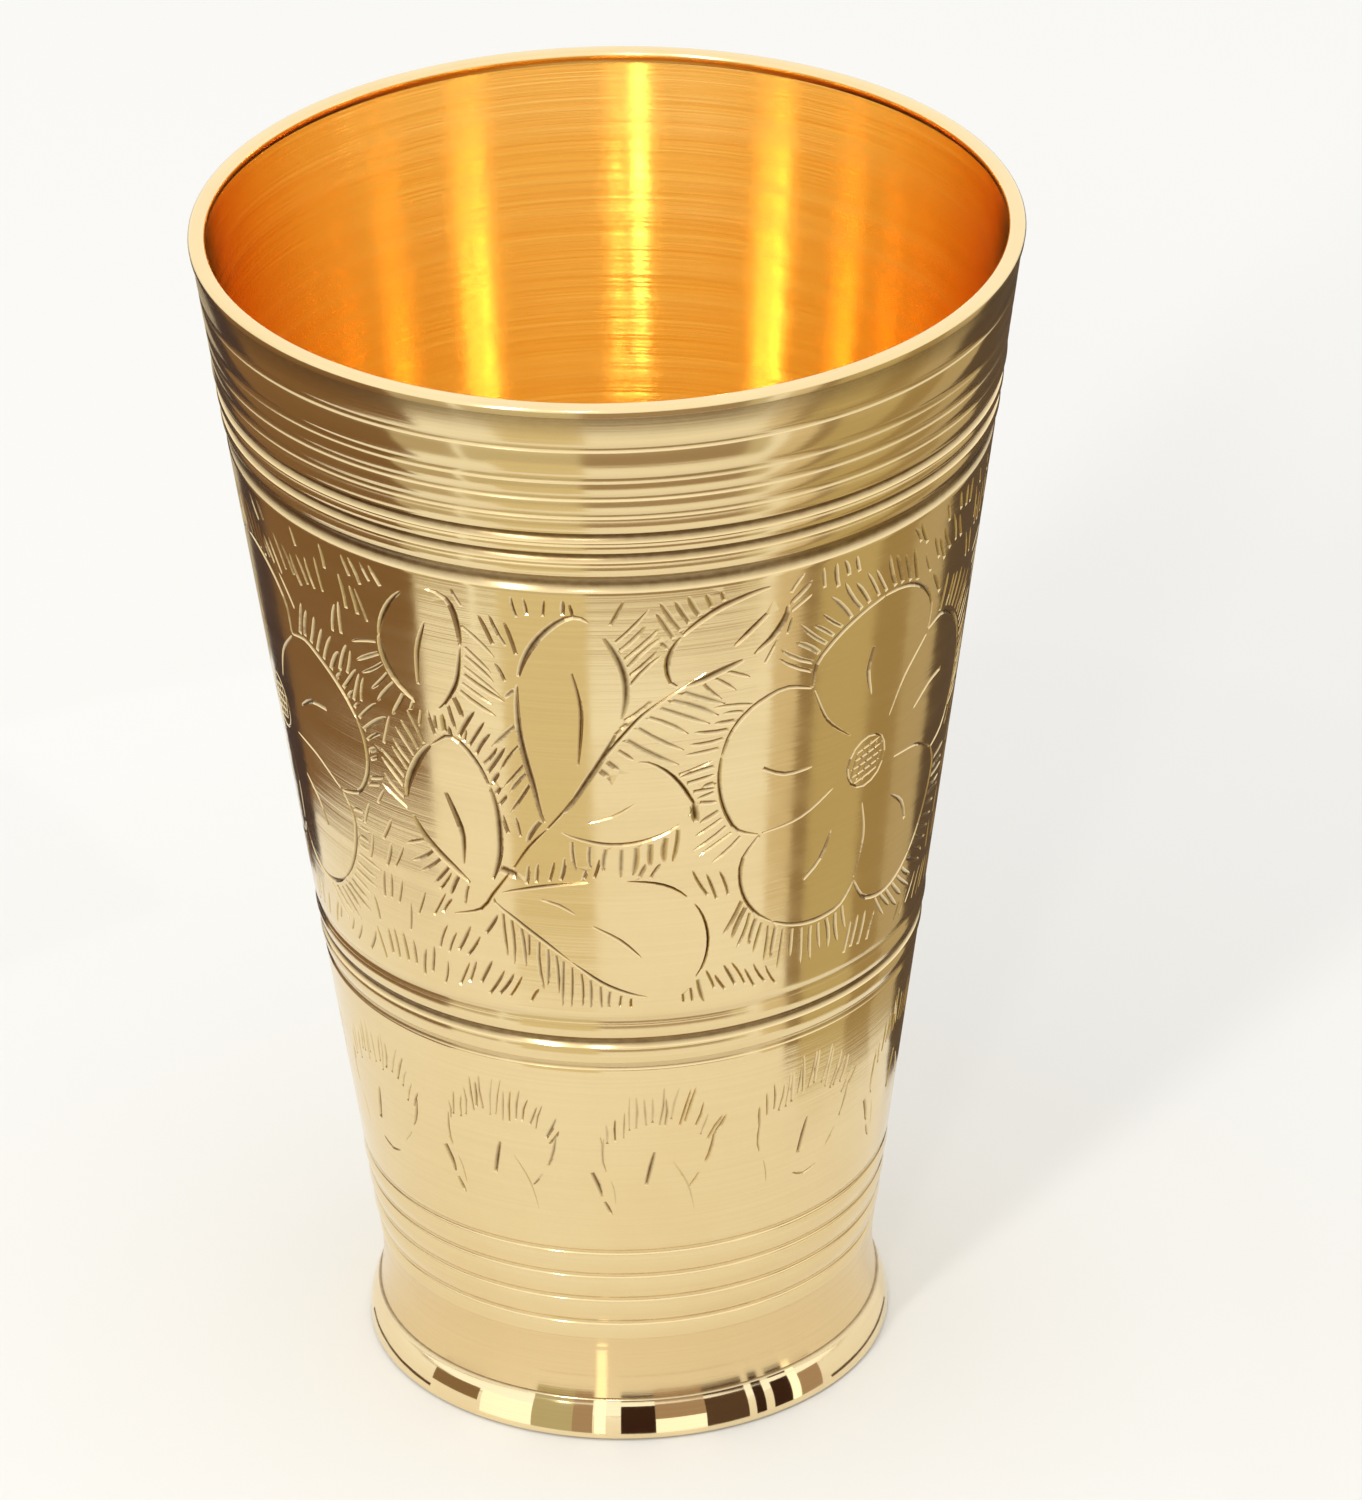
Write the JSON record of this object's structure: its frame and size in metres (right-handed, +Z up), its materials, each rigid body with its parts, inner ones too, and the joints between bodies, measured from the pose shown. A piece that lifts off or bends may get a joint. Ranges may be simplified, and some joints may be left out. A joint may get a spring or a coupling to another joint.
{
  "type": "brass tumbler",
  "caption": "Tapered brass drinking tumbler with a rounded lip, turned lines and a short flared foot on a polished ring.",
  "frame": {"origin": "centre of the circle that the foot ring stands on", "axes": "+Z up along the tumbler's axis; +Y away from a person who faces the engraved flower and leaf, +X to that person's right"},
  "size_m": [0.0926, 0.0926, 0.14],
  "materials": {
    "engraved_wall": "lathe-turned and hand-engraved, satin outside and bright inside",
    "brushed_foot": "lathe-turned satin",
    "polished_ring": "mirror polish",
    "cup_floor": "lathe-turned, deep gold",
    "brazing_alloy": "as brazed, scraped smooth"
  },
  "bodies": {
    "root": {"tumbler_wall": "engraved_wall", "foot_skirt": "brushed_foot", "foot_ring": "polished_ring", "bottom_disc": "cup_floor", "bottom_braze": "brazing_alloy", "skirt_braze": "brazing_alloy", "ring_braze": "brazing_alloy"}
  },
  "joints": []
}
